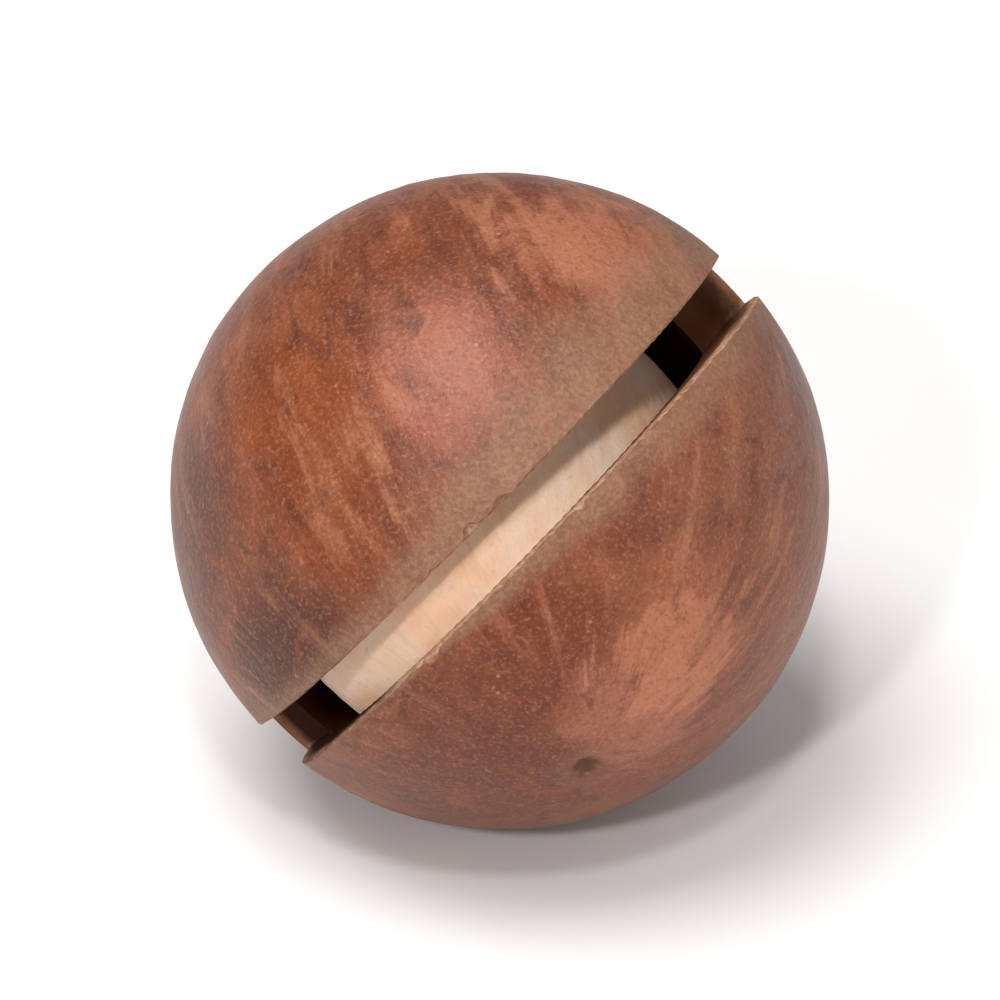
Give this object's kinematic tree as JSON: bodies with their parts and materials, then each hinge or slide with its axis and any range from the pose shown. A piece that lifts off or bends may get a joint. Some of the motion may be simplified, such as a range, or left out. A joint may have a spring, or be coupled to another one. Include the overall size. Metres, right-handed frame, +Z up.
{
  "type": "macadamia nut in shell",
  "caption": "Whole macadamia nut in its round woody shell, with a saw cut part of the way round that shows the pale kernel inside.",
  "frame": {"origin": "middle of the small flat spot under the nut, below the middle of the nut's box", "axes": "+Z up; -Y towards the saw cut, which slants from low at -X to high at +X and faces up at 33 degrees"},
  "size_m": [0.027, 0.027, 0.0268],
  "materials": {
    "shell": "satin woody seed coat, reddish brown, mottled, with paler sawn faces",
    "kernel": "waxy cream seed flesh"
  },
  "bodies": {
    "root": {"shell": "shell", "kernel": "kernel"}
  },
  "joints": []
}
